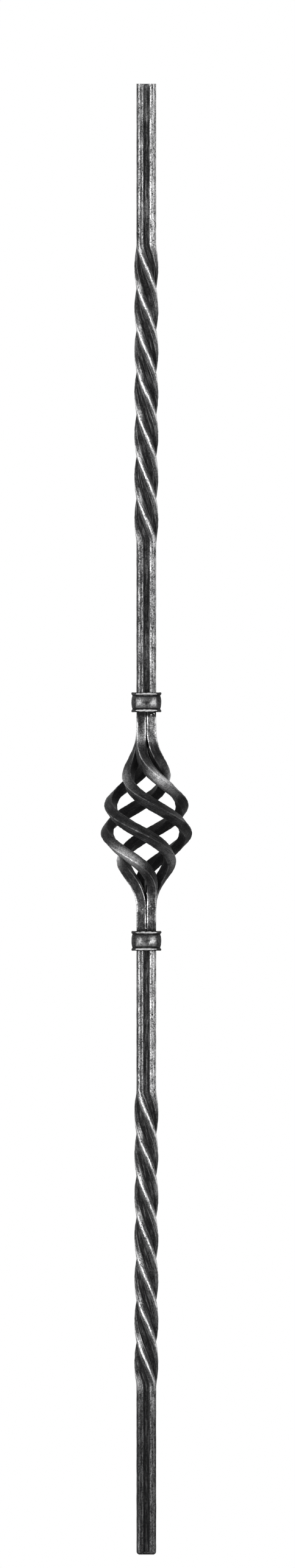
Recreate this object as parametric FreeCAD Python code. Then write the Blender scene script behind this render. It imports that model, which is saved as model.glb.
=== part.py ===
import FreeCAD, Part
import math
import os

# Iron stair baluster. Two grooved square bars, each twisted over its middle, are joined by a
# basket of four square rods. A moulded strip folded round each joint hides its weld.
# Millimetres, +Z up, origin at the centre of the foot.

baluster_height = 900.0

# Grooved square bar
bar_side = 12.0
bar_corner_radius = 2.7
corner_facets = 2
groove_width = 4.6
groove_floor = 1.6
groove_depth = 1.5
foot_chamfer = 1.5

# Lengths along the lower bar, from the foot up
lower_foot_length = 101.5
lower_twist_length = 184.5
lower_neck_length = 89.5

# Lengths along the upper bar, from the basket up. Its head is cut to the baluster's height
upper_neck_length = 96.0
upper_twist_length = 186.0

# Twist of the bars
twist_quarters = 7
twist_run_in = 6.0
twist_stations = 60

# Basket
rods_per_side = 2
lower_stub_length = 16.3
cage_length = 117.6
upper_stub_length = 12.1
cage_radius = 24.8
cage_belly = 0.47
cage_lag = 1.5
cage_turn = 360.0
cage_run_in = 32.5
cage_stations = 36

# Collar, a moulded strip folded round the joint
strip_height = 12.0
strip_thickness = 3.1
strip_bead_height = 1.6
strip_bead_easing = 0.4
strip_neck_depth = 0.7
strip_dome_rise = 0.6
strip_dome_facets = 4
strip_bend_radius = 0.2
strip_seam = 0.4
collar_clearance = 0.1

rod_side = bar_side / rods_per_side
rod_count = rods_per_side**2
pack_radius = rod_side / math.sqrt(2)
lower_bar_length = lower_foot_length + lower_twist_length + lower_neck_length
basket_length = lower_stub_length + cage_length + upper_stub_length
upper_bar_base = lower_bar_length + basket_length
upper_head_length = baluster_height - upper_bar_base - upper_neck_length - upper_twist_length
UP = FreeCAD.Vector(0, 0, 1)


def quarter_turned(point, quarters):
    """The plan point turned about the origin by whole quarter turns."""
    x, y = point
    for _ in range(quarters % 4):
        x, y = -y, x
    return x, y


def turned_share(distance, length, run_in):
    """Share of a turn made so far, when its rate eases in and out over the run-in at each end."""

    def eased(run):
        run = min(max(run, 0.0), run_in)
        return run / 2 - run_in / (2 * math.pi) * math.sin(math.pi * run / run_in)

    steady = min(max(distance - run_in, 0.0), length - 2 * run_in)
    return (eased(distance) + steady + run_in / 2 - eased(length - distance)) / (length - run_in)


def bar_outline():
    """Square with eased corners and one open groove along the middle of each face."""
    half = bar_side / 2
    corner = half - bar_corner_radius
    face = [(-groove_width / 2, -half), (-groove_floor / 2, groove_depth - half)]
    face += [(groove_floor / 2, groove_depth - half), (groove_width / 2, -half)]
    for step in range(corner_facets + 1):
        angle = math.pi / 2 * step / corner_facets
        across = corner + bar_corner_radius * math.sin(angle)
        face.append((across, -corner - bar_corner_radius * math.cos(angle)))
    return [quarter_turned(point, quarter) for quarter in range(4) for point in face]


def twist_guide(base, plain_below, twist_length, plain_above):
    """A line beside the bar that one corner keeps facing: straight, wound left-handed, straight."""
    wound_points = []
    for station in range(twist_stations + 1):
        climbed = twist_length * station / twist_stations
        share = turned_share(climbed, twist_length, twist_run_in)
        angle = -math.pi / 2 * twist_quarters * share
        beside = FreeCAD.Vector(math.cos(angle), math.sin(angle), 0) * bar_side
        wound_points.append(beside + UP * (base + plain_below + climbed))
    wound = Part.BSplineCurve()
    wound.interpolate(wound_points)
    below = Part.LineSegment(wound_points[0] - UP * plain_below, wound_points[0])
    above = Part.LineSegment(wound_points[-1], wound_points[-1] + UP * plain_above)
    return Part.Wire([below.toShape(), wound.toShape(), above.toShape()])


def bar(base, plain_below, twist_length, plain_above):
    """One length of bar: plain, twisted, plain. Whole quarter turns keep its faces square."""
    heights = [base, base + plain_below, base + plain_below + twist_length]
    heights.append(heights[-1] + plain_above)
    ends = [UP * height for height in heights]
    runs = [Part.LineSegment(low, high).toShape() for low, high in zip(ends, ends[1:])]
    outline = [FreeCAD.Vector(x, y, base) for x, y in bar_outline()]
    sweep = Part.BRepOffsetAPI.MakePipeShell(Part.Wire(runs))
    sweep.setAuxiliarySpine(twist_guide(base, plain_below, twist_length, plain_above), False, 0)
    sweep.add(Part.makePolygon(outline + outline[:1]))
    sweep.build()
    sweep.makeSolid()
    return sweep.shape()


def centred_block(side, height):
    """A square block standing on the ground round the axis."""
    return Part.makeBox(side, side, height, FreeCAD.Vector(-side / 2, -side / 2, 0))


def foot_waste():
    """What a chamfer takes off round the foot: a low block less the tapered foot within it."""
    block = centred_block(bar_side, 2 * foot_chamfer)
    foot_edges = [edge for edge in block.Edges if edge.BoundBox.ZMax < foot_chamfer]
    foot = block.makeChamfer(foot_chamfer, foot_edges)
    return centred_block(2 * bar_side, foot_chamfer).cut(foot)


def lower_bar():
    """The bar below the basket, with its foot eased to enter a base shoe."""
    whole = bar(0.0, lower_foot_length, lower_twist_length, lower_neck_length)
    return whole.cut(foot_waste()).Solids[0]


def upper_bar():
    """The bar above the basket, cut off square at the top."""
    return bar(upper_bar_base, upper_neck_length, upper_twist_length, upper_head_length)


def rod_centre(climbed, start_angle):
    """Centre of a rod at a height in the cage: it swings out, goes round once and comes back.

    The cage is widest at its belly, a share of its height, and the lag keeps the rods together
    at first, while they already turn.
    """
    risen = (climbed / cage_length) ** (math.log(0.5) / math.log(cage_belly))
    swing = math.sin(math.pi * risen) ** (2 * cage_lag)
    radius = pack_radius + (cage_radius - pack_radius) * swing
    share = turned_share(climbed, cage_length, cage_run_in)
    angle = math.radians(start_angle - cage_turn * share)
    plan = FreeCAD.Vector(math.cos(angle), math.sin(angle), 0) * radius
    return plan + UP * (lower_bar_length + lower_stub_length + climbed)


def rod_section(climbed, start_angle):
    """Square section across the rod, one corner facing straight out from the axis."""
    step = cage_length / 1e5
    low = max(climbed - step, 0.0)
    high = min(climbed + step, cage_length)
    along = rod_centre(high, start_angle) - rod_centre(low, start_angle)
    along.normalize()
    centre = rod_centre(climbed, start_angle)
    outward = FreeCAD.Vector(centre.x, centre.y, 0)
    outward = outward - along * outward.dot(along)
    outward.normalize()
    sideways = along.cross(outward)
    corners = (outward, sideways, -outward, -sideways)
    points = [centre + corner * pack_radius for corner in corners]
    return Part.makePolygon(points + points[:1])


def basket_rod(start_angle):
    """One square rod: a straight stub, the swelling turn of the cage, and a straight stub."""
    heights = [cage_length * station / cage_stations for station in range(cage_stations + 1)]
    sections = [rod_section(height, start_angle) for height in heights]
    cage = Part.makeLoft(sections, True, False, False, 3)
    below = Part.Face(sections[0]).extrude(UP * -lower_stub_length)
    above = Part.Face(sections[-1]).extrude(UP * upper_stub_length)
    return cage.fuse([below, above]).Solids[0]


def strip_profile():
    """Outline of the strip as (thickness, height) pairs: two edge beads and a dome between."""
    neck = strip_thickness - strip_neck_depth
    bead = [(strip_thickness - strip_bead_easing, 0), (strip_thickness, strip_bead_easing)]
    bead += [(strip_thickness, strip_bead_height - strip_bead_easing), (neck, strip_bead_height)]
    dome_height = strip_height - 2 * strip_bead_height
    dome = []
    for step in range(1, strip_dome_facets):
        share = step / strip_dome_facets
        rise = strip_dome_rise * math.sin(math.pi * share)
        dome.append((neck + rise, strip_bead_height + dome_height * share))
    upper_bead = [(thickness, strip_height - height) for thickness, height in reversed(bead)]
    return [(0, 0)] + bead + dome + upper_bead + [(0, strip_height)]


def fold_path(height):
    """Inner line of the folded strip, from one side of the seam at the back to the other."""
    half = bar_side / 2 + collar_clearance
    straight = half - strip_bend_radius
    bend = strip_bend_radius * math.sqrt(0.5)
    edges = []
    start = (strip_seam / 2, half)
    for quarter in range(4):
        outline = [(straight, half), (straight + bend, straight + bend), (half, straight)]
        turned = [quarter_turned(point, -quarter) for point in outline]
        points = [FreeCAD.Vector(x, y, height) for x, y in [start] + turned]
        edges.append(Part.LineSegment(points[0], points[1]).toShape())
        edges.append(Part.Arc(points[1], points[2], points[3]).toShape())
        start = turned[-1]
    finish = FreeCAD.Vector(-strip_seam / 2, half, height)
    edges.append(Part.LineSegment(FreeCAD.Vector(start[0], start[1], height), finish).toShape())
    return Part.Wire(edges)


def collar(joint_height):
    """The moulded strip folded round the four faces at a joint, its ends meeting at the back."""
    base = joint_height - strip_height / 2
    half = bar_side / 2 + collar_clearance
    points = [FreeCAD.Vector(strip_seam / 2, half + t, base + h) for t, h in strip_profile()]
    sweep = Part.BRepOffsetAPI.MakePipeShell(fold_path(base))
    sweep.setBiNormalMode(UP)
    sweep.add(Part.makePolygon(points + points[:1]))
    sweep.build()
    sweep.makeSolid()
    return sweep.shape()


def save(shape, node):
    """Write one piece to its own file."""
    shape.exportStep("parts/" + node + ".step")
    print(node, shape.ShapeType, shape.isValid(), round(shape.Volume, 1))


os.makedirs("parts", exist_ok=True)
save(lower_bar(), "lower_bar")
save(upper_bar(), "upper_bar")
for number in range(rod_count):
    save(basket_rod(45 + 360 / rod_count * number), "basket_rod_" + str(number + 1))
save(collar(lower_bar_length), "lower_collar")
save(collar(upper_bar_base), "upper_collar")
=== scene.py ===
# %% [markdown]
# This lesson dresses an iron stair baluster: two grooved square bars, each twisted over its middle,
# joined by a basket of four spiralled rods, with a moulded collar over each joint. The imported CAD
# part is the frame, and every piece here is modelled over it at the same size and place.

import math

import bpy
import numpy as np
from mathutils import Matrix, Vector


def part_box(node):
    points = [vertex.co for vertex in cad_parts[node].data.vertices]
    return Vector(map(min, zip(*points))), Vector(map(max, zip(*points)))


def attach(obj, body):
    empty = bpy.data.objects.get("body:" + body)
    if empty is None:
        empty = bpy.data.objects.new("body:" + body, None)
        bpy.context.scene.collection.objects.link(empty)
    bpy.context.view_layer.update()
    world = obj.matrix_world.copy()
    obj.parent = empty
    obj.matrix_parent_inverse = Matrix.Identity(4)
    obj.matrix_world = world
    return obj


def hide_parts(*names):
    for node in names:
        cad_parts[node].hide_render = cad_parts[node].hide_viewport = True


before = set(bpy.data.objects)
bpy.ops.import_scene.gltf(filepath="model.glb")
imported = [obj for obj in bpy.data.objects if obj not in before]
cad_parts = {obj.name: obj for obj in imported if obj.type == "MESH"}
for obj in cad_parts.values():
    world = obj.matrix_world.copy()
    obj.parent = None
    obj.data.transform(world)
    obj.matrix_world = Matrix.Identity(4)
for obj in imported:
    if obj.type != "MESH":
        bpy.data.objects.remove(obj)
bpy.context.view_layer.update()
mm = 0.001


# %% [markdown]
# Operators act on whatever is selected, so these helpers keep the selection clear. One selects a
# piece alone, one goes into edit mode on it, and three pick vertices, faces or lengthwise edges by a
# test on their places. The last three cut by a plane, apply modifiers and start a block.

# %% Helpers for working as by hand


def done():
    """Go back to object mode."""
    if bpy.context.mode != "OBJECT":
        bpy.ops.object.mode_set(mode="OBJECT")


def alone(piece):
    """Select one piece and nothing else."""
    done()
    bpy.ops.object.select_all(action="DESELECT")
    piece.select_set(True)
    bpy.context.view_layer.objects.active = piece


def edit(piece, mode="VERT"):
    """Go into edit mode on one piece alone, with nothing in it selected."""
    alone(piece)
    bpy.ops.object.mode_set(mode="EDIT")
    bpy.ops.mesh.select_mode(type=mode)
    bpy.ops.mesh.select_all(action="DESELECT")


def places(piece):
    """All vertex places of a piece, one row each."""
    flat = np.empty(3 * len(piece.data.vertices))
    piece.data.vertices.foreach_get("co", flat)
    return flat.reshape(-1, 3)


def pick_vertices(piece, test):
    """Select the vertices whose x, y, z pass the test."""
    edit(piece)
    done()
    piece.data.vertices.foreach_set("select", test(*places(piece).T))
    bpy.ops.object.mode_set(mode="EDIT")


def pick_faces(piece, test):
    """Select the faces whose middles pass the test."""
    edit(piece, "FACE")
    done()
    middles = np.empty(3 * len(piece.data.polygons))
    piece.data.polygons.foreach_get("center", middles)
    piece.data.polygons.foreach_set("select", test(*middles.reshape(-1, 3).T))
    bpy.ops.object.mode_set(mode="EDIT")


def pick_upright_edges(piece, test):
    """Select the edges that run along z and whose middles pass the test."""
    edit(piece, "EDGE")
    done()
    spots = places(piece)
    ends = np.empty(2 * len(piece.data.edges), dtype=int)
    piece.data.edges.foreach_get("vertices", ends)
    first, second = spots[ends[0::2]], spots[ends[1::2]]
    run = second - first
    upright = np.abs(run[:, 2]) > 0.99 * np.linalg.norm(run, axis=1)
    piece.data.edges.foreach_set("select", upright & test(*((first + second) / 2).T))
    bpy.ops.object.mode_set(mode="EDIT")


def cut(point, normal):
    """Cut the whole piece in edit mode by a plane, leaving new edges and taking nothing away."""
    bpy.ops.mesh.select_all(action="SELECT")
    bpy.ops.mesh.bisect(plane_co=point, plane_no=normal)


def apply_modifiers(piece):
    """Apply every modifier on the piece, from the top down."""
    alone(piece)
    for modifier in list(piece.modifiers):
        bpy.ops.object.modifier_apply(modifier=modifier.name)


def start_block(name, side, low, high):
    """A square block standing round the axis between two heights, its size in its mesh."""
    done()
    bpy.ops.object.select_all(action="DESELECT")
    bpy.ops.mesh.primitive_cube_add(size=1, location=(0, 0, (low + high) / 2))
    piece = bpy.context.object
    piece.name = name
    piece.scale = (side, side, high - low)
    bpy.ops.object.transform_apply(location=True, rotation=False, scale=True)
    return piece


bpy.ops.object.select_all(action="DESELECT")
print("helpers ready")

# %% [markdown]
# The bar is a rolled 12 mm square with a groove along each face. A long block is cut lengthwise
# with bisect where the groove's lips and floor lie, the floor strips are pushed in by scaling, and
# the long edges are beveled round. Edge-ring subdivision then gives the rings that a twist needs.

# %% The plain grooved bar
bar_side = 12 * mm
bar_half = bar_side / 2
bar_corner_radius = 2.7 * mm
groove_width = 4.6 * mm
groove_floor = 1.6 * mm
groove_depth = 1.5 * mm
groove_easing = 0.5 * mm
bar_rings = 700
hair = 0.01 * mm


def ease_edges(piece, near, far, radius, segments):
    """Round the long edges that lie at two plan distances, whichever way round."""

    def test(x, y, z):
        one_way = (abs(abs(x) - near) < hair) & (abs(abs(y) - far) < hair)
        return one_way | (abs(abs(y) - near) < hair) & (abs(abs(x) - far) < hair)

    pick_upright_edges(piece, test)
    bpy.ops.mesh.bevel(offset=radius, segments=segments, affect="EDGES")


def grooved_bar(name, low, high):
    """A straight grooved bar from one height to another, with many rings along it."""
    piece = start_block(name, bar_side, low, high)
    lip, floor, deep = groove_width / 2, groove_floor / 2, bar_half - groove_depth
    edit(piece)
    for offset in (-lip, -floor, floor, lip):
        cut((offset, 0, 0), (1, 0, 0))
        cut((0, offset, 0), (0, 1, 0))
    sunk = deep / bar_half
    pick_vertices(piece, lambda x, y, z: (abs(x) < floor + hair) & (abs(y) > bar_half - hair))
    bpy.ops.transform.resize(value=(1, sunk, 1), center_override=(0, 0, 0))
    pick_vertices(piece, lambda x, y, z: (abs(y) < floor + hair) & (abs(x) > bar_half - hair))
    bpy.ops.transform.resize(value=(sunk, 1, 1), center_override=(0, 0, 0))
    ease_edges(piece, bar_half, bar_half, bar_corner_radius, 6)
    ease_edges(piece, lip, bar_half, groove_easing, 3)
    ease_edges(piece, floor, deep, groove_easing, 2)
    pick_upright_edges(piece, lambda x, y, z: z > low)
    bpy.ops.mesh.subdivide_edgering(number_cuts=bar_rings, interpolation="LINEAR")
    done()
    print(name, len(piece.data.vertices), "vertices")
    return piece


lower_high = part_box("lower_bar")[1][2]
upper_low, upper_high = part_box("upper_bar")[0][2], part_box("upper_bar")[1][2]
lower_bar = grooved_bar("lower_bar_iron", 0, lower_high)
upper_bar = grooved_bar("upper_bar_iron", upper_low, upper_high)

# %% [markdown]
# The finish is told by numbers kept on the vertices, which the materials read later. These helpers
# keep such numbers, read them back and renew them. Two shapes help to work them out: fade eases from
# 0 to 1 between two values, and hump is 1 at one value and falls off on both sides of it.

# %% Helpers for notes on the vertices


def note(piece, name, values):
    """Keep one number per vertex on the piece, for its material to read."""
    layer = piece.data.attributes.new(name, "FLOAT", "POINT")
    layer.data.foreach_set("value", np.asarray(values, dtype=np.float32))


def note_all(piece, **values):
    """Keep the same number on every vertex, under each of the given names."""
    for name, value in values.items():
        note(piece, name, np.full(len(piece.data.vertices), value))


def note_stock(piece, straight):
    """Keep each vertex's place on the straight stock."""
    layer = piece.data.attributes.new("stock", "FLOAT_VECTOR", "POINT")
    layer.data.foreach_set("vector", np.asarray(straight, dtype=np.float32).ravel())


def noted(piece, name, width=1):
    """The numbers kept on a piece under one name."""
    values = np.empty(width * len(piece.data.vertices), dtype=np.float32)
    piece.data.attributes[name].data.foreach_get("vector" if width > 1 else "value", values)
    return values.reshape(-1, width).squeeze()


def keep(piece, name, values):
    """Put new numbers under a name the piece already has."""
    layer = piece.data.attributes[name]
    layer.data.foreach_set("value", np.asarray(values, dtype=np.float32))


def fade(value, low, high):
    """0 below one value, 1 above another, eased between."""
    share = np.clip((value - low) / (high - low), 0, 1)
    return share * share * (3 - 2 * share)


def hump(value, middle, width):
    """1 at the middle, falling off to both sides within about the width."""
    return np.exp(-(((value - middle) / width) ** 2))


print("notes ready")

# %% [markdown]
# The finish follows the stock: brush strokes run along it, also where it is twisted. While the bar
# is still straight, each vertex keeps its straight place, and how far it lies across the section
# from the middle of a groove (0) to the crest of a corner (1). The twist then carries both round.

# %% Note each vertex's place on the straight stock


def crest_share(first, second, side, radius):
    """0 on the middle lines of a square's faces, 1 on the crests of its eased corners."""
    return np.minimum(abs(first), abs(second)) / (side / 2 - radius * (1 - math.sqrt(0.5)))


for piece in (lower_bar, upper_bar):
    x, y, _ = places(piece).T
    note_stock(piece, places(piece))
    note(piece, "across", crest_share(x, y, bar_side, bar_corner_radius))
    print(piece.name, "noted")

# %% [markdown]
# The foot was filed round before the bar was fitted. Bisect does the same: a tangent plane at each
# of three slopes, on each of four sides, cuts a sliver off and fills the cut. At the top the saw
# left the groove ends half closed, so the groove's last three rings are drawn outwards, each less than
# the one above. Both cut ends have a finish of their own, so each is extruded in place and shrunk a
# little to mark it off.

# %% File the foot and close the grooves at the top
foot_rounding = 2 * mm
foot_zone = 4 * mm
foot_slopes = (22.5, 45, 67.5)
four_sides = ((1, 0), (0, 1), (-1, 0), (0, -1))
ring_closing = (0.85, 0.6, 0.25)
groove_drawing = ((4.7 * mm, 0.24), (5.3 * mm, 0.1))
near_reach = 0.3 * mm
end_share = 0.97
ring_gap = (upper_high - upper_low) / (bar_rings + 1)
for slope in foot_slopes:
    outward, down = math.sin(math.radians(slope)), -math.cos(math.radians(slope))
    reach = bar_half - foot_rounding + foot_rounding * outward
    height = foot_rounding + foot_rounding * down
    for side in four_sides:
        pick_vertices(lower_bar, lambda x, y, z: z < foot_zone)
        bpy.ops.mesh.bisect(
            plane_co=(reach * side[0], reach * side[1], height),
            plane_no=(outward * side[0], outward * side[1], down),
            use_fill=True,
            clear_outer=True,
        )
for ring, closed in enumerate(ring_closing):
    level = upper_high - ring * ring_gap
    for reach, drawn in groove_drawing:
        pick_vertices(
            upper_bar,
            lambda x, y, z: (abs(z - level) < hair)
            & (np.minimum(abs(x), abs(y)) < groove_width / 2)
            & (abs(np.maximum(abs(x), abs(y)) - reach) < near_reach),
        )
        size = 1 + drawn * closed
        bpy.ops.transform.resize(value=(size, size, 1), center_override=(0, 0, 0))
for piece, level in ((lower_bar, 0), (upper_bar, upper_high)):
    pick_faces(piece, lambda x, y, z: abs(z - level) < hair)
    bpy.ops.mesh.extrude_region_move()
    bpy.ops.transform.resize(value=(end_share, end_share, 1), center_override=(0, 0, level))
    done()
    inner = np.empty(len(piece.data.vertices), dtype=bool)
    piece.data.vertices.foreach_get("select", inner)
    note(piece, "end", inner)
print("foot filed, top closed, cut ends marked off")

# %% [markdown]
# A smith clamps one end and turns the other. Simple Deform does the same between two limits, about
# the piece's own origin, so the origin goes to the start of the twist first. Two twists of half the
# turn, one a little shorter, ease the start and the end as the iron does.

# %% Twist the bars
quarter_turns = 7
run_in = 6 * mm
foot_length = 101.5 * mm
lower_twist = 184.5 * mm
upper_neck = 96 * mm
upper_twist = 186 * mm


def twist(piece, low, length):
    """Twist the bar left-handed between two heights, easing in and out."""
    alone(piece)
    bpy.context.scene.cursor.location = (0, 0, low)
    bpy.ops.object.origin_set(type="ORIGIN_CURSOR")
    z = places(piece)[:, 2]
    bottom, tall = z.min(), z.max() - z.min()
    half_turn = -quarter_turns * math.pi / 4
    missed = 0
    for name, inset in (("outer twist", run_in / 4), ("inner twist", 3 * run_in / 4)):
        turn = piece.modifiers.new(name, "SIMPLE_DEFORM")
        turn.deform_method = "TWIST"
        turn.deform_axis = "Z"
        turn.angle = half_turn
        turn.limits = ((inset - bottom) / tall, (length - inset - bottom) / tall)
        missed += half_turn * inset / (length - 2 * inset)
    apply_modifiers(piece)
    piece.data.transform(Matrix.Rotation(-missed, 4, "Z"))
    bpy.ops.object.transform_apply(location=True, rotation=True, scale=True)
    bpy.context.scene.cursor.location = (0, 0, 0)
    print(piece.name, "twisted from", round(low, 4), "over", length)


twist(lower_bar, foot_length, lower_twist)
twist(upper_bar, upper_low + upper_neck, upper_twist)

# %% [markdown]
# Each rod is a 6 mm square that leaves the pack, swings out, goes once round the axis and comes
# back. Its section stays square to its own path with one corner facing out. Planes are added along
# the path like cards on a wire, their corners are eased, and the bridge operator skins them.

# %% The path of a basket rod
rod_side = bar_side / 2
rod_easing = 0.6 * mm
pack_radius = rod_side / math.sqrt(2)
lower_stub = 16.3 * mm
cage_length = 117.6 * mm
upper_stub = 12.1 * mm
cage_radius = 24.8 * mm
cage_belly = 0.47
cage_lag = 1.5
cage_run_in = 32.5 * mm


def turned_share(distance):
    """Share of the cage's whole turn made by a height, with its rate eased at both ends."""

    def eased(run):
        run = min(max(run, 0), cage_run_in)
        return run / 2 - cage_run_in / (2 * math.pi) * math.sin(math.pi * run / cage_run_in)

    steady = min(max(distance - cage_run_in, 0), cage_length - 2 * cage_run_in)
    gone = eased(distance) + steady + cage_run_in / 2 - eased(cage_length - distance)
    return gone / (cage_length - cage_run_in)


def rod_centre(climbed, start):
    """Centre of the rod at a height above the cage's foot."""
    inside = min(max(climbed, 0), cage_length)
    risen = (inside / cage_length) ** (math.log(0.5) / math.log(cage_belly))
    swing = math.sin(math.pi * risen) ** (2 * cage_lag)
    radius = pack_radius + (cage_radius - pack_radius) * swing
    angle = start - 2 * math.pi * turned_share(inside)
    height = lower_high + lower_stub + climbed
    return Vector((radius * math.cos(angle), radius * math.sin(angle), height))


def rod_axes(climbed, start):
    """Directions of the section's two sides and of the path, one corner facing out."""
    step = 0.01 * mm
    along = (rod_centre(climbed + step, start) - rod_centre(climbed - step, start)).normalized()
    centre = rod_centre(climbed, start)
    outward = Vector((centre.x, centre.y, 0))
    outward = (outward - along * outward.dot(along)).normalized()
    sideways = along.cross(outward)
    return (outward + sideways).normalized(), (sideways - outward).normalized(), along


rod_start = math.pi / 4
print("rod swings out to", round(rod_centre(cage_length / 2, rod_start).to_2d().length, 4))

# %% [markdown]
# Now the rod itself, skinned over its cards. A simple subdivision afterwards adds no roundness, only
# the small faces that hammer marks will need.

# %% One basket rod
rod_cards = 150


def rod_heights(count):
    """Heights above the cage's foot, evenly spaced from one end of the rod to the other."""
    whole = lower_stub + cage_length + upper_stub
    return [-lower_stub + whole * card / count for card in range(count + 1)]


def add_card(climbed):
    """One square card set across the path."""
    turn = Matrix(rod_axes(climbed, rod_start)).transposed().to_euler()
    spot = rod_centre(climbed, rod_start)
    bpy.ops.mesh.primitive_plane_add(size=rod_side, location=spot, rotation=turn)


def basket_rod(name):
    """One square rod from the lower joint to the upper joint."""
    done()
    bpy.ops.object.select_all(action="DESELECT")
    heights = rod_heights(rod_cards)
    add_card(heights[0])
    piece = bpy.context.object
    piece.name = name
    bpy.ops.object.transform_apply(location=True, rotation=True, scale=True)
    edit(piece)
    for height in heights[1:]:
        add_card(height)
    bpy.ops.mesh.select_all(action="SELECT")
    bpy.ops.mesh.bevel(offset=rod_easing, segments=3, affect="VERTICES")
    bpy.ops.mesh.select_all(action="SELECT")
    bpy.ops.mesh.delete(type="ONLY_FACE")
    bpy.ops.mesh.select_all(action="SELECT")
    bpy.ops.mesh.bridge_edge_loops()
    bpy.ops.mesh.select_all(action="SELECT")
    bpy.ops.mesh.fill_holes(sides=0)
    bpy.ops.mesh.select_all(action="SELECT")
    bpy.ops.mesh.normals_make_consistent(inside=False)
    finer = piece.modifiers.new("finer", "SUBSURF")
    finer.subdivision_type = "SIMPLE"
    finer.levels = finer.render_levels = 2
    apply_modifiers(piece)
    print(name, len(piece.data.vertices), "vertices")
    return piece


first_rod = basket_rod("basket_rod_1_iron")

# %% [markdown]
# The rod was bent from the first, so its straight places are measured back: the nearest point of the
# path says how far along a vertex lies, and the section's two directions how far across. The edge
# that faces out was rubbed most. The faces towards the axis are darker, partly from less wear and
# partly as painted shade inside the cage. Bright strokes on the bends are partly brush marks and
# partly painted highlight, and lines along the side edges near the ends are painted highlights.

# %% Note where the rod's vertices lie on its stock, its wear and its painted light
samples = 600
ends_from, ends_to = 0.27, 0.37
stroke_at, stroke_width = 0.2, 0.04
lengths = rod_heights(samples)
path = np.array([rod_centre(climbed, rod_start) for climbed in lengths])
axes = np.array([rod_axes(climbed, rod_start) for climbed in lengths])
run = np.cumsum(np.linalg.norm(np.diff(path, axis=0, prepend=path[:1]), axis=1))
spots = places(first_rod)
nearest = np.array([np.argmin(((path - spot) ** 2).sum(axis=1)) for spot in spots])
away = spots - path[nearest]
wide = (away * axes[nearest, 0]).sum(axis=1)
tall = (away * axes[nearest, 1]).sum(axis=1)
facing_out = (wide - tall) / rod_side
bend = np.abs(np.array(lengths)[nearest] / cage_length - 0.5)
near_ends = np.clip((bend - ends_from) / (ends_to - ends_from), 0, 1)
# Darker towards the axis: partly less wear, partly painted shade inside the cage.
brushed = np.clip(0.55 + 0.9 * facing_out, 0.08, 1)
brushed = np.maximum(brushed, near_ends * np.clip(1.2 + 1.8 * facing_out, 0, 1))
# Bright strokes on the bends, partly brush marks and partly painted highlight.
strokes = hump(bend, stroke_at, stroke_width) * np.clip(2 * facing_out, 0, 1)
crest = np.clip(crest_share(wide, tall, rod_side, rod_easing), 0, 1)
# Painted highlights along the side edges near the ends of the cage.
painted_end_edge_highlights = near_ends * np.clip((crest - 0.86) / 0.1, 0, 1)
painted_end_edge_highlights *= np.clip(1.7 + 3.4 * facing_out, 0, 1)
note_stock(first_rod, np.column_stack((wide, tall, run[nearest])))
note(first_rod, "across", crest)
note(first_rod, "brushed", brushed)
note(first_rod, "rubbed", 0.6 * strokes + 0.8 * painted_end_edge_highlights)
print("rod is", round(float(run[-1]), 4), "m long before bending")

# %% [markdown]
# All four rods are bent on the same jig, so the other three are copies of the first, each with its
# own mesh, turned a quarter further round the axis. Each copy's stock is moved along a little, so
# that no two rods wear the same marks.

# %% Copy the rod round the axis
rods = [first_rod]
stock_step = 0.31
for number in (2, 3, 4):
    alone(first_rod)
    bpy.ops.object.duplicate()
    copy = bpy.context.object
    copy.name = "basket_rod_" + str(number) + "_iron"
    copy.data.transform(Matrix.Rotation(math.pi / 2 * (number - 1), 4, "Z"))
    shifted = np.column_stack((wide, tall, run[nearest] + stock_step * (number - 1)))
    copy.data.attributes["stock"].data.foreach_set("vector", shifted.astype(np.float32).ravel())
    rods.append(copy)
print(len(rods), "rods")

# %% [markdown]
# Where the rods part, the weld that holds them runs a little way out between them and closes the
# crotch. A slim cone, its point towards the cage, is cut level a few times so that it can be lumpy
# later. The rods hide all of it but what shows in the gaps.

# %% The root welds
weld_radius = 1.6 * mm
weld_tip_share = 0.3
weld_length = 22 * mm
weld_sunk = 4 * mm
weld_slices = 12


def root_weld(name, base, direction):
    """A slim cone on the axis, from inside the pack out into the crotch of the rods."""
    done()
    bpy.ops.object.select_all(action="DESELECT")
    bpy.ops.mesh.primitive_cone_add(
        vertices=16,
        radius1=weld_radius,
        radius2=weld_tip_share * weld_radius,
        depth=weld_length,
        location=(0, 0, base + direction * weld_length / 2),
        rotation=(0 if direction > 0 else math.pi, 0, 0),
    )
    piece = bpy.context.object
    piece.name = name
    bpy.ops.object.transform_apply(location=True, rotation=True, scale=True)
    edit(piece)
    for level in range(1, weld_slices):
        cut((0, 0, base + direction * weld_length * level / weld_slices), (0, 0, 1))
    bpy.ops.mesh.select_all(action="SELECT")
    bpy.ops.mesh.normals_make_consistent(inside=False)
    done()
    print(name, len(piece.data.vertices), "vertices")
    return piece


lower_weld = root_weld("lower_root_weld", lower_high + lower_stub - weld_sunk, 1)
upper_weld = root_weld("upper_root_weld", upper_low - upper_stub + weld_sunk, -1)

# %% [markdown]
# A few drops of weld stuck to the faces of the rods near the collars. Each is a small ball, pressed
# flat and turned, half sunk in the face: its place, measured from the joint, and its half sizes are in
# millimetres, its lean in degrees. They are joined into one piece.

# %% Drops of weld
lower_drops = (
    ((2.4, -5.9, 21.1), (0.9, 0.3, 0.35), -35),
    ((4.0, -5.9, 19.7), (0.4, 0.3, 0.35), 0),
    ((0.3, -6.2, 28.9), (0.3, 0.3, 0.8), 0),
    ((-2.2, -5.9, 19.1), (0.4, 0.3, 0.4), 20),
    ((-0.4, -5.9, 7.7), (0.7, 0.3, 0.4), 30),
    ((2.0, 5.9, 18.5), (0.6, 0.3, 0.5), -20),
    ((5.9, 2.2, 20.3), (0.3, 0.7, 0.4), 0),
)
upper_drops = (
    ((3.0, -5.9, -7.6), (0.6, 0.35, 0.6), 0),
    ((4.8, -5.9, -6.9), (0.7, 0.3, 0.45), 40),
    ((-1.5, 5.9, -7.7), (0.7, 0.3, 0.5), 15),
    ((-5.9, -1.8, -9.0), (0.3, 0.6, 0.5), 0),
)


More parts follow.
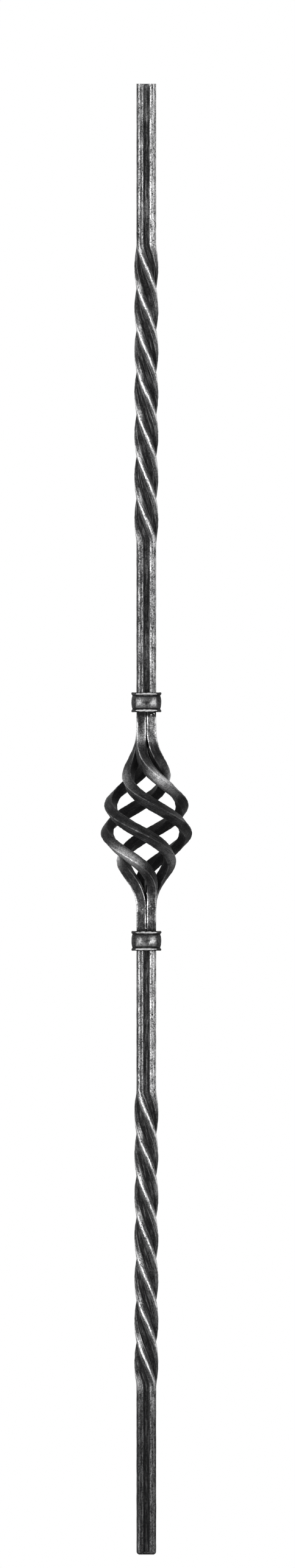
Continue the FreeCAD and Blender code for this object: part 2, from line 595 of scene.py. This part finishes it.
def weld_drop(joint, place, size, lean):
    """One drop near a joint."""
    bpy.ops.mesh.primitive_ico_sphere_add(subdivisions=3, radius=1)
    ball = bpy.context.object
    ball.scale = [extent * mm for extent in size]
    ball.rotation_euler = (0, math.radians(lean), 0)
    ball.location = Vector(place) * mm + Vector((0, 0, joint))
    return ball


done()
bpy.ops.object.select_all(action="DESELECT")
balls = [weld_drop(lower_high, *drop) for drop in lower_drops]
balls += [weld_drop(upper_low, *drop) for drop in upper_drops]
for ball in balls:
    ball.select_set(True)
bpy.context.view_layer.objects.active = balls[0]
bpy.ops.object.join()
weld_drops = bpy.context.object
weld_drops.name = "weld_drops"
bpy.ops.object.transform_apply(location=True, rotation=True, scale=True)
print("weld drops", len(weld_drops.data.vertices), "vertices")

# %% [markdown]
# The collar is a moulded strip folded round the joint. A block with rounded upright corners is
# hollowed by inset and bridge, sliced level with bisect, and each slice is drawn in or let out to
# give the two edge beads, the necks beside them and the domed band. The strip's ends meet at the
# back, where a narrow column of faces is taken out and the two cut ends are filled. The levels are
# millimetres up from the strip's edge, each with its share of the full half-width.

# %% A collar
strip_height = 12 * mm
strip_thickness = 3.1 * mm
strip_bend = 3.3 * mm
strip_seam = 0.4 * mm
collar_clearance = 0.1 * mm
collar_half = bar_half + collar_clearance + strip_thickness
face_cuts = (-5.5, -4, -2.5, -1, 1, 2.5, 4, 5.5)
strip_levels = (
    (0.0, 0.955),
    (0.25, 0.985),
    (0.7, 1.0),
    (1.2, 0.985),
    (1.55, 0.945),
    (1.9, 0.918),
    (2.5, 0.938),
    (3.4, 0.966),
    (4.7, 0.986),
    (6.0, 0.992),
)


def split_seam(piece):
    """Open the seam at the back and close the two ends of the strip."""
    seam = strip_seam / 2
    pick_faces(piece, lambda x, y, z: (abs(x) < seam) & (y > 0))
    bpy.ops.mesh.delete(type="FACE")
    for side in (-seam, seam):
        pick_vertices(piece, lambda x, y, z: (abs(x - side) < 0.1 * seam) & (y > 0))
        bpy.ops.mesh.edge_face_add()
    bpy.ops.mesh.select_all(action="SELECT")
    bpy.ops.mesh.normals_make_consistent(inside=False)


def collar(name, joint):
    """The folded strip over one joint."""
    base, top = joint - strip_height / 2, joint + strip_height / 2
    piece = start_block(name, 2 * collar_half, base, top)
    pick_upright_edges(piece, lambda x, y, z: z > base)
    bpy.ops.mesh.bevel(offset=strip_bend, segments=8, affect="EDGES")
    for end in (base, top):
        pick_faces(piece, lambda x, y, z: abs(z - end) < hair)
        bpy.ops.mesh.inset(thickness=strip_thickness)
        bpy.ops.mesh.delete(type="FACE")
    inner = collar_half - strip_thickness + hair
    pick_vertices(piece, lambda x, y, z: (abs(x) < inner) & (abs(y) < inner))
    bpy.ops.mesh.select_mode(type="EDGE")
    bpy.ops.mesh.bridge_edge_loops()
    upper_levels = [(strip_height / mm - level, share) for level, share in strip_levels[:-1]]
    levels = [(base + level * mm, share) for level, share in (*strip_levels, *upper_levels)]
    for level, _ in levels:
        cut((0, 0, level), (0, 0, 1))
    for offset in face_cuts:
        cut((offset * mm, 0, 0), (1, 0, 0))
        cut((0, offset * mm, 0), (0, 1, 0))
    for edge in (-strip_seam / 2, strip_seam / 2):
        cut((edge, 0, 0), (1, 0, 0))
    for level, share in levels:
        pick_vertices(
            piece,
            lambda x, y, z: (abs(z - level) < hair) & (np.maximum(abs(x), abs(y)) > inner + mm),
        )
        bpy.ops.transform.resize(value=(share, share, 1), center_override=(0, 0, joint))
    split_seam(piece)
    finer = piece.modifiers.new("finer", "SUBSURF")
    finer.subdivision_type = "SIMPLE"
    finer.levels = finer.render_levels = 2
    apply_modifiers(piece)
    print(name, len(piece.data.vertices), "vertices")
    return piece


upper_collar = collar("upper_collar_iron", upper_low)
lower_collar = collar("lower_collar_iron", lower_high)

# %% [markdown]
# Brushing wore each stretch differently, and light and shade are painted on as well. On a bar,
# "wound" tells the plain stretches from the twisted one, and another note tells the right half of a
# plain face, painted lighter as if lit, from the left half, painted darker as shade. On the twisted
# faces a painted highlight lies where a face turns to one of four slants round the axis. The bar is
# darker towards the foot, and the flank on the left is darkened as painted shade. The last
# millimetres at the top shine, and the two cut ends have one even finish.

# %% Note how the bars were brushed and where light and shade are painted on them
ease = 8 * mm
foot_brushed = 0.22
dark_up_to, bright_from = 75 * mm, 130 * mm
brushed_slant = math.radians(32)
left_flank_shade_share = 0.75
end_finish = {"across": 0.62, "brushed": 0.6, "rubbed": 0, "right": 0, "wound": 0}


def rubbed_faces(piece):
    """A painted highlight, high where a wound face, past its crest, turns to one of four slants round
    the axis.
    """
    x, y, _ = places(piece).T
    stock = noted(piece, "stock", 3)
    past_crest = np.degrees(np.arctan2(stock[:, 1], stock[:, 0]) - math.pi / 4) % 90
    slant = np.arctan2(x, -y) + brushed_slant
    turned_to = np.clip(np.cos(4 * slant), 0, 1) ** 2
    flat = fade(noted(piece, "across"), 0.4, 0.5)
    return turned_to * flat * np.where(past_crest < 45, 1.0, 0.4)


def top_shine(x, y, z):
    """High in an arch over each groove's end at the very top, and a little all round it."""
    across_face = np.minimum(abs(x), abs(y)) / mm
    arch = (0.3 + 1.1 * (across_face / 1.8) ** 2) * mm
    over_groove = across_face < groove_width / 2 / mm
    arched = fade(upper_high - z, 1.2 * arch, 0.7 * arch) * over_groove
    return arched + 0.6 * fade(z, upper_high - 3.5 * mm, upper_high - 0.7 * mm)


def paint_bar_wear_and_light(piece, low, length, below):
    """Note one bar, twisted from a height over a length, worn by a share below that, and its painted
    light.
    """
    x, y, z = places(piece).T
    into = fade(z, low - ease / 2, low + ease)
    out = fade(z, low + length - 1.5 * ease, low + length)
    wound = into - out
    # Painted shade: the flank on the left of each plain stretch is darkened.
    left_flank_shade = (1 - wound) * fade(-x, 5.2 * mm, 5.5 * mm)
    # The bar is darker towards the foot and brighter higher up.
    brushed = foot_brushed + (1 - foot_brushed) * fade(z, dark_up_to, bright_from)
    brushed *= (1 - left_flank_shade_share * left_flank_shade) * (below + (1 - below) * into)
    note(piece, "wound", wound)
    # Painted light: the right half of each plain face takes the lighter zones, the left half the darker
    # ones.
    note(piece, "right", fade(x, -0.6 * mm, 0.6 * mm))
    note(piece, "brushed", brushed)
    # Painted highlights on the twisted faces join the shine at the top in this note.
    note(piece, "rubbed", 0.27 * wound * rubbed_faces(piece) + 0.2 * top_shine(x, y, z))
    note(piece, "grain", 0.85 - 0.1 * wound)
    end = noted(piece, "end") > 0
    for name, value in end_finish.items():
        keep(piece, name, np.where(end, value, noted(piece, name)))


paint_bar_wear_and_light(lower_bar, foot_length, lower_twist, 1.0)
paint_bar_wear_and_light(upper_bar, upper_low + upper_neck, upper_twist, 0.72)
print("bars brushed")

# %% [markdown]
# On the rods, "wound" stands for the imported ends, which were brushed much more than the cage. A
# band beside each collar is darker, and the seams of the pack and its outer corners stay dark. The
# painted highlights of the cage are kept in its upper right and lower left, seen from the front, and
# mostly taken out elsewhere. A painted glint lies where the rods leave the upper stub.

# %% Note how the rods were brushed, where they are darker and where highlights are painted
cage_middle = lower_high + lower_stub + cage_length / 2


def paint_rod_wear_and_light(piece):
    """Note one rod's darker bands and painted highlights; it already knows its worn edges and edge
    highlights.
    """
    x, y, z = places(piece).T
    above_low, below_high = z - lower_high, upper_low - z
    from_planes = np.minimum(abs(x), abs(y))
    packed = 1 - fade(np.hypot(x, y), 8.5 * mm, 10 * mm)
    seam = packed * (1 - fade(from_planes, 0.3 * mm, 0.6 * mm))
    outer = packed * fade(from_planes, 4.4 * mm, 5.2 * mm)
    near_pack = fade(abs(z - cage_middle), 43 * mm, 52 * mm)
    # A band beside each collar is darker, most of all below the upper collar.
    dark_by_collars = 0.55 * (1 - fade(above_low, 9 * mm, 14 * mm))
    dark_by_collars += 0.35 * (1 - fade(above_low, 6.5 * mm, 8 * mm))
    dark_by_collars += 0.9 * (1 - fade(below_high, 7.5 * mm, 9.5 * mm))
    # Painted highlights: the cage keeps its rubbed brightness in the upper right and lower left, seen
    # from the front.
    highlit_quarters = fade(x * (z - cage_middle) / mm**2, -60, 60)
    missed = 0.65 * (1 - highlit_quarters) * (1 - near_pack)
    # A painted glint below the upper stub, stronger on the right.
    painted_glint = hump(below_high, 22.5 * mm, 2.5 * mm)
    painted_glint += 0.6 * hump(below_high, 17 * mm, 5 * mm) * (x > 0)
    undarkened = (1 - seam) * (1 - dark_by_collars) * (1 - 0.6 * outer)
    note(piece, "wound", near_pack)
    note(piece, "grain", 0.6 + 0.25 * near_pack)
    note_all(piece, right=0)
    keep(piece, "brushed", noted(piece, "brushed") * undarkened)
    keep(piece, "rubbed", noted(piece, "rubbed") * (1 - missed) + 0.16 * painted_glint)


for rod in rods:
    paint_rod_wear_and_light(rod)
print("rods brushed")

# %% [markdown]
# The root welds are out of the brush's reach and stay dark. The drops stand proud and shine.

# %% Note how the welds were brushed
for piece, shine in ((lower_weld, 0.0), (upper_weld, 0.0), (weld_drops, 0.6)):
    note_stock(piece, places(piece))
    note_all(piece, across=0, wound=0, right=0, grain=0, rubbed=shine, brushed=float(shine > 0))
print("welds noted")

# %% [markdown]
# On a collar, painted highlights lie on the two beads where they cross a face, thickest in the
# middle, and as two ovals on the dome of each face. The necks stay dark, and the folds at the corners
# are darkened as painted shade. Each collar's dome also has a dent darkened as painted shade and a
# dark drag mark, each of its own strength. All measures here are in millimetres from the joint.

# %% Note the collars' wear, painted highlights and painted shade
bead_height = 5.0
neck_height = 4.1


def paint_collar_wear_and_light(piece, joint, dent_shade, drag):
    """Note one collar, with the strengths of the painted shade in its dent and of its drag mark."""
    x, y, z = places(piece).T / mm
    height, along_face = z - joint / mm, np.minimum(abs(x), abs(y))
    from_joint = abs(height)
    # The face share falls off at the corners, where the folds are darkened as painted shade.
    face = 1 - fade(along_face, 5.8, 7.0)
    # A painted highlight along each bead, thickest in the middle of a face.
    bead = 0.75 * np.sqrt(np.clip(1 - (along_face / 7) ** 2, 0.02, 1))
    bead *= 1 + 0.2 * np.sin(1.7 * x + 2 * height) * np.sin(1.3 * y + 1)
    crest = face * (1 - fade(abs(from_joint - bead_height) / bead, 0.6, 1.1))
    # Two painted highlights on the dome of each face.
    painted_ovals = hump(along_face, 4, 1.9) * hump(height, -0.3, 2.4)
    # The dent is darkened as painted shade.
    dented = fade(height + 2.8 - 0.8 * along_face, 0, 2) * (1 - fade(height, -0.2, 1.6))
    dragged = hump(height - 0.15 * x, 0, 0.55) * (1 - fade(along_face, 2, 4))
    dome = (0.18 + 0.66 * painted_ovals) * (1 - dent_shade * dented) * (1 - drag * dragged)
    dome *= face * (1 - 0.5 * fade(height, 1.3, 2.8)) * (1 - fade(from_joint, 2.9, 3.8))
    corner = 0.07 * fade(along_face, 6.0, 7.4) * (1 - 0.7 * hump(from_joint, neck_height, 0.4))
    note_stock(piece, places(piece))
    note(piece, "across", np.clip(dome + crest + corner, 0, 1))
    note_all(piece, wound=0, right=0, brushed=1, rubbed=0, grain=0.6)


paint_collar_wear_and_light(lower_collar, lower_high, 0.25, 0.5)
paint_collar_wear_and_light(upper_collar, upper_low, 0.7, 0.15)
print("collars brushed")

# %% [markdown]
# Forged iron is never quite even. Displace pushes the surface in and out by cloudy noise, or straight
# in for a single dent, and a vertex group says where.

# %% Helpers for hammer marks
weight_steps = 20


def set_group(piece, name, share):
    """A vertex group whose weights are the given shares."""
    group = piece.vertex_groups.new(name=name)
    levels = np.round(np.clip(share, 0, 1) * weight_steps).astype(int)
    for level in range(1, weight_steps + 1):
        group.add(np.flatnonzero(levels == level).tolist(), level / weight_steps, "REPLACE")


def hammer(piece, name, lump, depth, share, contrast=1.0):
    """Push the surface in and out by cloudy noise, harder edged where the contrast is strong."""
    set_group(piece, name, share)
    clouds = bpy.data.textures.new(name, "CLOUDS")
    clouds.noise_scale = lump
    clouds.contrast = contrast
    push = piece.modifiers.new(name, "DISPLACE")
    push.texture = clouds
    push.texture_coords = "LOCAL"
    push.strength = depth
    push.mid_level = 0.5
    push.vertex_group = name
    apply_modifiers(piece)
    piece.vertex_groups.clear()


def dent(piece, place, radius, depth):
    """A shallow dent: the surface near one place moves in along its normals."""
    away = np.linalg.norm(places(piece) - place, axis=1)
    set_group(piece, "dent", hump(away, 0, radius))
    push = piece.modifiers.new("dent", "DISPLACE")
    push.strength = -depth
    push.mid_level = 0
    push.vertex_group = "dent"
    apply_modifiers(piece)
    piece.vertex_groups.clear()


print("hammer ready")

# %% [markdown]
# Broad shallow waves run all over, and small nicks mark the crests that took the knocks. The ends keep
# their places, so the baluster keeps its length. The welds are lumpy.

# %% Hammer the bars, the rods and the welds
nick_lump, nick_depth, nick_contrast = 2.5 * mm, 0.2 * mm, 2.0


def hammer_stock(piece, lump, depth, share, crests_from):
    """Waves over a share of the piece, and nicks on its crests."""
    on_crests = share * fade(noted(piece, "across"), crests_from, 0.9)
    hammer(piece, "waves", lump, depth, share)
    hammer(piece, "nicks", nick_lump, nick_depth, on_crests, nick_contrast)


for piece in (lower_bar, upper_bar):
    z = places(piece)[:, 2]
    inside = fade(z - z.min(), 2 * mm, 5 * mm) * fade(z.max() - z, 5 * mm, 8 * mm)
    hammer_stock(piece, 7 * mm, 0.3 * mm, inside, 0.6)
for piece in rods:
    z = places(piece)[:, 2]
    free = fade(z - lower_high, 8 * mm, 20 * mm) * fade(upper_low - z, 8 * mm, 20 * mm)
    hammer_stock(piece, 8 * mm, 0.4 * mm, free, 0.5)
for piece, lump, depth in (
    (lower_weld, 2 * mm, 0.3 * mm),
    (upper_weld, 2 * mm, 0.3 * mm),
    (weld_drops, 0.5 * mm, 0.15 * mm),
):
    hammer(piece, "lumps", lump, depth, np.ones(len(piece.data.vertices)))
print("bars, rods and welds hammered")

# %% [markdown]
# The collars were beaten close round the joint, which left waves and a dent or two on each face. A
# dent is its place on the face, measured from the joint, its radius and its depth, in millimetres.

# %% Beat the collars
skin = collar_half / mm
upper_dents = (
    ((0.2, -skin, -0.6), 1.7, 0.55),
    ((0.2, -skin, -2.6), 0.9, 0.35),
    ((-skin, 1.5, 0.8), 1.8, 0.4),
    ((skin, -1, -1), 1.6, 0.4),
    ((2.5, skin, 0.5), 1.8, 0.4),
)
lower_dents = (
    ((-1.5, -skin, 0.8), 1.4, 0.4),
    ((1.2, -skin, -0.9), 1.5, 0.45),
    ((-skin, -2, 0), 1.8, 0.4),
    ((skin, 1.5, 1), 1.6, 0.4),
    ((-2.5, skin, -0.5), 1.8, 0.4),
)
for piece, joint, dents in (
    (lower_collar, lower_high, lower_dents),
    (upper_collar, upper_low, upper_dents),
):
    x, y, _ = places(piece).T
    outside = fade(np.maximum(abs(x), abs(y)), 7.2 * mm, 8.2 * mm)
    hammer(piece, "waves", 3.5 * mm, 0.35 * mm, outside)
    for place, radius, depth in dents:
        dent(piece, np.array(place) * mm + (0, 0, joint), radius * mm, depth * mm)
print("collars beaten")

# %% [markdown]
# A material is a web of nodes. Each of these helpers adds one node to a web and hands back its output:
# a sum, a change of range, a number kept on the vertices, noise along the stock, a mix of two colours
# and a ramp of greys across the section.

# %% Helpers for material webs


def feed(web, value, socket):
    """Put a plain value on a socket, or lead another node's output to it."""
    if isinstance(value, bpy.types.NodeSocket):
        web.links.new(value, socket)
    else:
        socket.default_value = value


def sum_up(web, operation, first, second, clamp=False):
    """Two values taken together by one sum."""
    node = web.nodes.new("ShaderNodeMath")
    node.operation = operation
    node.use_clamp = clamp
    feed(web, first, node.inputs[0])
    feed(web, second, node.inputs[1])
    return node.outputs[0]


def spread(web, value, low, high, to_low, to_high):
    """A value carried from one range to another and held within it."""
    node = web.nodes.new("ShaderNodeMapRange")
    for socket, number in zip(node.inputs, (value, low, high, to_low, to_high)):
        feed(web, number, socket)
    return node.outputs[0]


def kept(web, name, output="Fac"):
    """What the vertices keep under a name."""
    node = web.nodes.new("ShaderNodeAttribute")
    node.attribute_name = name
    return node.outputs[output]


def noise(web, scale, detail, stretch):
    """Noise on the straight stock, drawn out along it where the stretch is under 1."""
    turn = web.nodes.new("ShaderNodeMapping")
    turn.inputs["Scale"].default_value = (1, 1, stretch)
    feed(web, kept(web, "stock", "Vector"), turn.inputs["Vector"])
    node = web.nodes.new("ShaderNodeTexNoise")
    node.inputs["Scale"].default_value = scale
    node.inputs["Detail"].default_value = detail
    node.inputs["Roughness"].default_value = 0.6
    feed(web, turn.outputs[0], node.inputs["Vector"])
    return node.outputs[0]


def mixed(web, share, first, second):
    """One colour where the share is 0, another where it is 1."""
    node = web.nodes.new("ShaderNodeMix")
    node.data_type = "RGBA"
    feed(web, share, node.inputs["Factor"])
    feed(web, first, node.inputs["A"])
    feed(web, second, node.inputs["B"])
    return node.outputs["Result"]


def zone_ramp(web, zones):
    """A grey for each stretch across the section, from the groove's middle to the crest."""
    node = web.nodes.new("ShaderNodeValToRGB")
    stops = node.color_ramp.elements
    stops.remove(stops[0])
    stops[0].position, grey = zones[0]
    stops[0].color = (grey, grey, grey, 1)
    for position, grey in zones[1:]:
        stops.new(position).color = (grey, grey, grey, 1)
    feed(web, kept(web, "across"), node.inputs["Fac"])
    return node.outputs["Color"]


print("webs ready")

# %% [markdown]
# The iron has a near-black patina that was brushed until the raised parts shone: corners and groove
# lips are silver, flats are speckled and grooves stay dark. Highlights and shade are painted in on top
# of that. Zones across the section say how bright a point is, from wear and painted light, on the
# left half of a plain face, painted darker, on its right half, painted lighter, and where the stock
# is wound. Dashes, blotches, grain and fine streaks along the stock break that up. One recipe serves
# bars, rods and collars with different settings.

# %% The brushed iron recipe
patina = (0.009, 0.009, 0.0095, 1)
silver = (0.66, 0.66, 0.665, 1)
wear_gain = 1.45
pit_depth = 0.2 * mm


def zone_wear_and_light(web, zones, dash):
    """How bright each zone is, worn and painted with light and shade, broken into dashes."""
    plain = mixed(web, kept(web, "right"), zone_ramp(web, zones[0]), zone_ramp(web, zones[1]))
    across = mixed(web, kept(web, "wound"), plain, zone_ramp(web, zones[2]))
    dashes = spread(web, noise(web, 260, 2, 0.5), 0.4, 0.6, dash, 2.2 - dash)
    return sum_up(web, "MULTIPLY", across, sum_up(web, "MULTIPLY", dashes, wear_gain))


def speckle(web, fine, patches, strokes, stroke_share):
    """Grain from dark to bright: fine specks, patches and strokes, as strong as the piece says."""
    grain = sum_up(web, "MULTIPLY", spread(web, fine, 0.33, 0.67, -1, 1), 0.85)
    for layer, share in ((patches, 0.25), (strokes, stroke_share)):
        layered = sum_up(web, "MULTIPLY", spread(web, layer, 0.35, 0.65, -1, 1), share)
        grain = sum_up(web, "ADD", grain, layered)
    return sum_up(web, "MULTIPLY", grain, kept(web, "grain"))


def brushed_iron(name, zones, patch_share, patch_scale, stroke_share, streak_share, dash):
    """A dark patina worn to silver, with painted highlights and shade, where the zones, the notes and
    the noise along the stock say so.
    """
    iron = bpy.data.materials.new(name)
    iron.use_nodes = True
    web = iron.node_tree
    shader = web.nodes["Principled BSDF"]
    fine, patches = noise(web, 1400, 2, 0.8), noise(web, patch_scale, 3, 1)
    strokes, blotches = noise(web, 1500, 3, 0.07), noise(web, 48, 2, 1)
    # This sum holds the wear together with the painted highlights and shade from the zones and the
    # notes.
    wear_and_light = zone_wear_and_light(web, zones, dash)
    wear_and_light = sum_up(web, "ADD", wear_and_light, spread(web, blotches, 0.56, 0.66, 0, patch_share))
    # This note adds the wear of raised parts and the highlights painted on the bars and rods.
    wear_and_light = sum_up(web, "ADD", wear_and_light, kept(web, "rubbed"))
    # This note scales the brightness down where there was less wear and where shade is painted.
    wear_and_light = sum_up(web, "MULTIPLY", wear_and_light, kept(web, "brushed"))
    grain = speckle(web, fine, patches, strokes, stroke_share)
    broken = sum_up(web, "MULTIPLY", wear_and_light, sum_up(web, "ADD", grain, 1.0))
    drawn = spread(web, kept(web, "brushed"), 0, 1, 0.4, 1)
    streaks = spread(web, strokes, 0.55, 0.72, 0, streak_share)
    broken = sum_up(web, "ADD", broken, sum_up(web, "MULTIPLY", streaks, drawn))
    mask = sum_up(web, "ADD", broken, sum_up(web, "MULTIPLY", grain, 0.016), clamp=True)
    feed(web, mixed(web, mask, patina, silver), shader.inputs["Base Color"])
    feed(web, spread(web, mask, 0, 0.4, 0, 0.95), shader.inputs["Metallic"])
    feed(web, spread(web, mask, 0, 1, 0.5, 0.3), shader.inputs["Roughness"])
    shader.inputs["Specular IOR Level"].default_value = 0.06
    pitted = web.nodes.new("ShaderNodeBump")
    pitted.inputs["Distance"].default_value = pit_depth
    feed(web, sum_up(web, "MULTIPLY", kept(web, "grain"), 0.5), pitted.inputs["Strength"])
    feed(web, sum_up(web, "ADD", fine, patches), pitted.inputs["Height"])
    feed(web, pitted.outputs[0], shader.inputs["Normal"])
    return iron


print("recipe ready")

# %% [markdown]
# Zones are pairs: a place across the section, 0 in the middle of a face and 1 on the crest of a
# corner, and how bright it is. The bright lines along the corners and lips are partly wear and partly
# painted highlight, the dark crests of the plain faces are painted shade, and the left half of a
# plain face is painted darker than the right. On the collars the place is the brightness noted before.

# %% Three irons
bar_shaded_left_zones = (
    (0.0, 0.09),
    (0.06, 0.035),
    (0.12, 0.006),
    (0.27, 0.006),
    (0.36, 0.11),
    (0.45, 0.3),
    (0.54, 0.12),
    (0.64, 0.07),
    (0.74, 0.08),
    (0.82, 0.27),
    (0.89, 0.36),
    (0.94, 0.09),
    (1.0, 0.02),
)
bar_lit_right_zones = (
    (0.0, 0.09),
    (0.06, 0.035),
    (0.12, 0.006),
    (0.3, 0.006),
    (0.38, 0.08),
    (0.47, 0.34),
    (0.58, 0.32),
    (0.67, 0.24),
    (0.77, 0.18),
    (0.85, 0.36),
    (0.91, 0.42),
    (0.96, 0.2),
    (1.0, 0.16),
)
bar_wound_zones = (
    (0.0, 0.07),
    (0.05, 0.012),
    (0.38, 0.008),
    (0.44, 0.09),
    (0.5, 0.025),
    (0.66, 0.04),
    (0.8, 0.08),
    (0.88, 0.16),
    (0.94, 0.46),
    (1.0, 0.78),
)
rod_cage_zones = ((0.0, 0.012), (0.6, 0.014), (0.85, 0.025), (0.94, 0.06), (1.0, 0.09))
rod_pack_zones = ((0.0, 0.08), (0.55, 0.09), (0.68, 0.12), (0.78, 0.5), (0.93, 0.6), (1.0, 0.3))
collar_zones = ((0.0, 0.0), (0.5, 0.25), (1.0, 0.8))
bar_zones = (bar_shaded_left_zones, bar_lit_right_zones, bar_wound_zones)
rod_zones = (rod_cage_zones, rod_cage_zones, rod_pack_zones)
bar_iron = brushed_iron(
    "bar_iron",
    bar_zones,
    patch_share=0.08,
    patch_scale=150,
    stroke_share=0.5,
    streak_share=0.22,
    dash=0.8,
)
rod_iron = brushed_iron(
    "rod_iron",
    rod_zones,
    patch_share=0.05,
    patch_scale=220,
    stroke_share=0.3,
    streak_share=0.04,
    dash=0.4,
)
collar_iron = brushed_iron(
    "collar_iron",
    3 * (collar_zones,),
    patch_share=0.0,
    patch_scale=450,
    stroke_share=0.0,
    streak_share=0.0,
    dash=0.7,
)
print("three irons")

# %% [markdown]
# Each bar, rod and collar takes the place of its CAD node. The welds and their drops replace nothing.
# All ride with the part's one body. Edges sharper than fifty degrees stay crisp, all others shade
# smooth.

# %% Hand the pieces over
crisp_from = math.radians(50)
bar_dress = [(piece, bar_iron, "forged_iron") for piece in (lower_bar, upper_bar)]
rod_dress = [(piece, rod_iron, "forged_iron") for piece in rods]
collar_dress = [(piece, collar_iron, "collar_iron") for piece in (lower_collar, upper_collar)]
weld_dress = [(piece, rod_iron, "forged_iron") for piece in (lower_weld, upper_weld, weld_drops)]
for piece, iron, slot in bar_dress + rod_dress + collar_dress + weld_dress:
    piece.data.materials.clear()
    piece.data.materials.append(iron)
    alone(piece)
    bpy.ops.object.shade_smooth_by_angle(angle=crisp_from)
    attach(piece, "root")
    if piece.name.endswith("_iron"):
        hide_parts(piece.name.replace("_iron", ""))
    print(piece.name, len(piece.data.polygons), "faces")

# %% [markdown]
# The studio is plain: a pale floor and a white world. The world is white to the camera and to
# reflections, and dimmer as a light, so that colours render about as they are written.

# %% The floor and the world
done()
bpy.ops.object.select_all(action="DESELECT")
bpy.ops.mesh.primitive_plane_add(size=6, location=(0, 0, 0))
floor = bpy.context.object
floor.name = "floor"
pale = bpy.data.materials.new("pale_floor")
pale.use_nodes = True
pale.node_tree.nodes["Principled BSDF"].inputs["Base Color"].default_value = (0.8, 0.8, 0.8, 1)
floor.data.materials.append(pale)

world = bpy.data.worlds.new("white_studio")
bpy.context.scene.world = world
world.use_nodes = True
tree = world.node_tree
back = tree.nodes["Background"]
ray = tree.nodes.new("ShaderNodeLightPath")
seen = ray.outputs["Is Camera Ray"]
for kind in ("Is Glossy Ray", "Is Transmission Ray"):
    either = tree.nodes.new("ShaderNodeMath")
    either.operation = "MAXIMUM"
    tree.links.new(seen, either.inputs[0])
    tree.links.new(ray.outputs[kind], either.inputs[1])
    seen = either.outputs[0]
level = tree.nodes.new("ShaderNodeMapRange")
level.inputs["To Min"].default_value = 0.4
level.inputs["To Max"].default_value = 1.0
tree.links.new(seen, level.inputs["Value"])
tree.links.new(level.outputs[0], back.inputs["Strength"])
back.inputs["Color"].default_value = (1, 1, 1, 1)
print("floor and world set")

# %% [markdown]
# Three tall strip lamps stand round the front, left, right and far left, and draw the long highlights
# down the corners. Each has its turn from straight in front, in degrees, and its power in watts.

# %% The lamps
strip_lamps = (("left_strip", -28, 6.5), ("right_strip", 30, 4.5), ("side_strip", -66, 4))
lamp_width, lamp_length = 0.2, 1.4
lamp_distance, lamp_height, lamp_aim = 1.3, 0.5, 0.47
for name, turn, watts in strip_lamps:
    lamp_data = bpy.data.lights.new(name, "AREA")
    lamp_data.shape = "RECTANGLE"
    lamp_data.size = lamp_width
    lamp_data.size_y = lamp_length
    lamp_data.energy = watts
    lamp = bpy.data.objects.new(name, lamp_data)
    bpy.context.scene.collection.objects.link(lamp)
    angle = math.radians(turn)
    lamp.location = (lamp_distance * math.sin(angle), -lamp_distance * math.cos(angle), lamp_height)
    aim = Vector((0, 0, lamp_aim)) - lamp.location
    lamp.rotation_euler = aim.to_track_quat("-Z", "Y").to_euler()
print(len(strip_lamps), "lamps")

# %% [markdown]
# The photograph was taken from far off and level with the middle, with no perspective to be seen, so
# the camera is orthographic and looks straight at the front.

# %% The camera
camera_data = bpy.data.cameras.new("camera")
camera_data.type = "ORTHO"
camera_data.ortho_scale = 0.9594
camera = bpy.data.objects.new("camera", camera_data)
bpy.context.scene.collection.objects.link(camera)
camera.location = (0.0007, -2.0, 0.4715)
camera.rotation_euler = (math.pi / 2, 0, 0)
bpy.context.scene.camera = camera
bpy.context.scene.view_settings.view_transform = "Standard"
print("camera at", tuple(camera.location))
